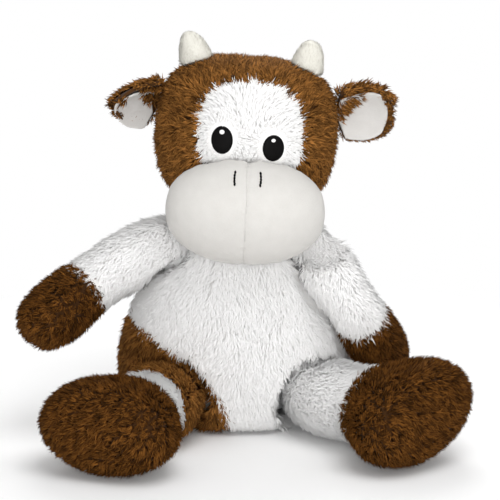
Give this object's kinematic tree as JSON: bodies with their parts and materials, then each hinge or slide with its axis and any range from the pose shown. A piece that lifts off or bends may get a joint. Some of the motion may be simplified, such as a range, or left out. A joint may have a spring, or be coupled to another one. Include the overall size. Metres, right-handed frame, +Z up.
{
  "type": "plush cow",
  "caption": "Seated plush cow with brown patches, white face blaze, broad pale muzzle, soft horns, cupped ears, splayed legs and a tufted tail.",
  "frame": {"origin": "middle of the flat seat base, where the torso rests on the floor", "axes": "the toy faces -Y, +Z is up, -X is at the left of someone who looks at its face"},
  "size_m": [0.3327, 0.2708, 0.2988],
  "materials": {
    "brown_plush": "long brown pile",
    "white_plush": "long white pile",
    "muzzle_velour": "short warm white pile",
    "horn_velour": "short cream pile",
    "filling": "white fibre filling",
    "pellet_bag": "plain woven bag of pellets",
    "black_thread": "glossy embroidery thread",
    "white_thread": "glossy embroidery thread"
  },
  "bodies": {
    "torso": {"belly_panel": "white_plush", "back_panel": "white_plush", "hip_patch": "brown_plush", "torso_stuffing": "filling", "pellet_pouch": "pellet_bag"},
    "neck": {"neck_plug": "filling"},
    "head": {"head_side_left": "brown_plush", "head_side_right": "brown_plush", "face_blaze": "white_plush", "head_stuffing": "filling", "muzzle_left": "muzzle_velour", "muzzle_right": "muzzle_velour", "muzzle_stuffing": "filling", "eye_left": "black_thread", "eye_right": "black_thread", "eye_glint_left": "white_thread", "eye_glint_right": "white_thread", "nostril_left": "black_thread", "nostril_right": "black_thread", "horn_left": "horn_velour", "horn_right": "horn_velour"},
    "ear_left": {"ear_left_back": "brown_plush", "ear_left_lining": "muzzle_velour"},
    "ear_right": {"ear_right_back": "brown_plush", "ear_right_lining": "muzzle_velour"},
    "arm_left": {"arm_left_sleeve": "white_plush", "arm_left_paw": "brown_plush", "arm_left_stuffing": "filling"},
    "arm_right": {"arm_right_sleeve": "white_plush", "arm_right_paw": "brown_plush", "arm_right_stuffing": "filling"},
    "leg_left": {"leg_left_thigh": "brown_plush", "leg_left_band": "white_plush", "leg_left_foot": "brown_plush", "leg_left_sole": "brown_plush", "leg_left_stuffing": "filling"},
    "leg_right": {"leg_right_thigh": "white_plush", "leg_right_foot": "brown_plush", "leg_right_sole": "brown_plush", "leg_right_stuffing": "filling"},
    "tail": {"tail_stem": "white_plush", "tail_tuft": "brown_plush"}
  },
  "joints": [
    {"name": "neck_turn", "type": "hinge", "parent": "torso", "child": "neck", "pos_m": [0.002, 0, 0.162], "axis": [0, 0, 1], "range_deg": [-10, 10]},
    {"name": "head_nod", "type": "hinge", "parent": "neck", "child": "head", "pos_m": [0.002, 0, 0.162], "axis": [1, 0, 0], "range_deg": [-5, 5]},
    {"name": "ear_left_flop", "type": "hinge", "parent": "head", "child": "ear_left", "pos_m": [-0.05681, -0.004, 0.24442], "axis": [0, 1, 0], "range_deg": [-20, 20]},
    {"name": "ear_right_flop", "type": "hinge", "parent": "head", "child": "ear_right", "pos_m": [0.0698, -0.004, 0.23446], "axis": [0, -1, 0], "range_deg": [-20, 20]},
    {"name": "arm_left_lift", "type": "hinge", "parent": "torso", "child": "arm_left", "pos_m": [-0.047, -0.008, 0.138], "axis": [0, 1, 0], "range_deg": [-10, 25]},
    {"name": "arm_right_lift", "type": "hinge", "parent": "torso", "child": "arm_right", "pos_m": [0.047, -0.012, 0.138], "axis": [0, -1, 0], "range_deg": [0, 30]},
    {"name": "leg_left_lift", "type": "hinge", "parent": "torso", "child": "leg_left", "pos_m": [-0.05, -0.05, 0.0295], "axis": [-1, 0, 0], "range_deg": [-20, 20]},
    {"name": "leg_right_lift", "type": "hinge", "parent": "torso", "child": "leg_right", "pos_m": [0.054, -0.046, 0.0295], "axis": [-1, 0, 0], "range_deg": [-20, 20]},
    {"name": "tail_lift", "type": "hinge", "parent": "torso", "child": "tail", "pos_m": [0, 0.066, 0.056], "axis": [1, 0, 0], "range_deg": [0, 50]}
  ]
}
